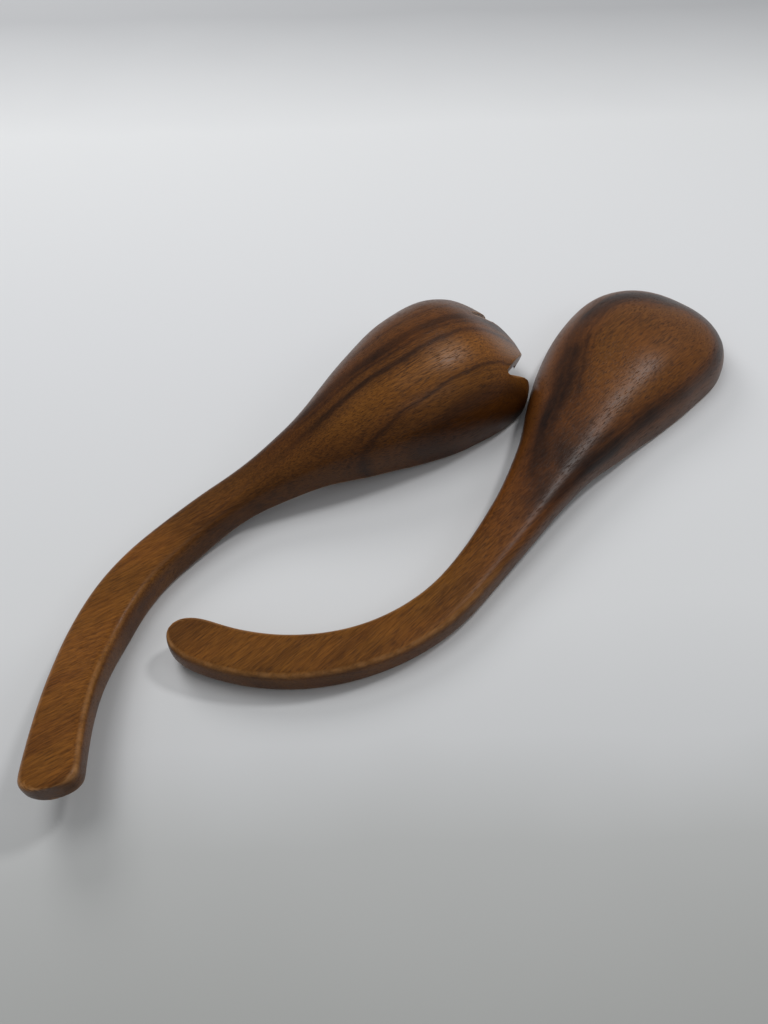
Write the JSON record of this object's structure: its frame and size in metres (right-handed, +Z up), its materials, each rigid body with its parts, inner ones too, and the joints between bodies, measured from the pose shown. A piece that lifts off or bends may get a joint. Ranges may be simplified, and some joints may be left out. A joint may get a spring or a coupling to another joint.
{
  "type": "salad server pair",
  "caption": "Hand-carved wooden salad servers lying bowl down side by side: a round-bowled spoon and a notched fork, with slim handles that curve in opposite directions.",
  "frame": {"origin": "on the surface the servers lie on, under the middle of the pair's box", "axes": "+Z up; +Y from the handles towards the bowls; +X towards the spoon's side. The picture looks at azimuth 45 degrees from 50 degrees above the surface"},
  "size_m": [0.1308, 0.3826, 0.0492],
  "materials": {
    "spoon_wood": "satin oiled, brown with dark growth figure",
    "fork_wood": "satin oiled, brown with dark growth figure"
  },
  "bodies": {
    "spoon": {"serving_spoon": "spoon_wood"},
    "fork": {"serving_fork": "fork_wood"}
  },
  "joints": [
    {"name": "fork_lift", "type": "slide", "parent": "spoon", "child": "fork", "axis": [0, 0, 1], "range_m": [0, 0.15]}
  ]
}
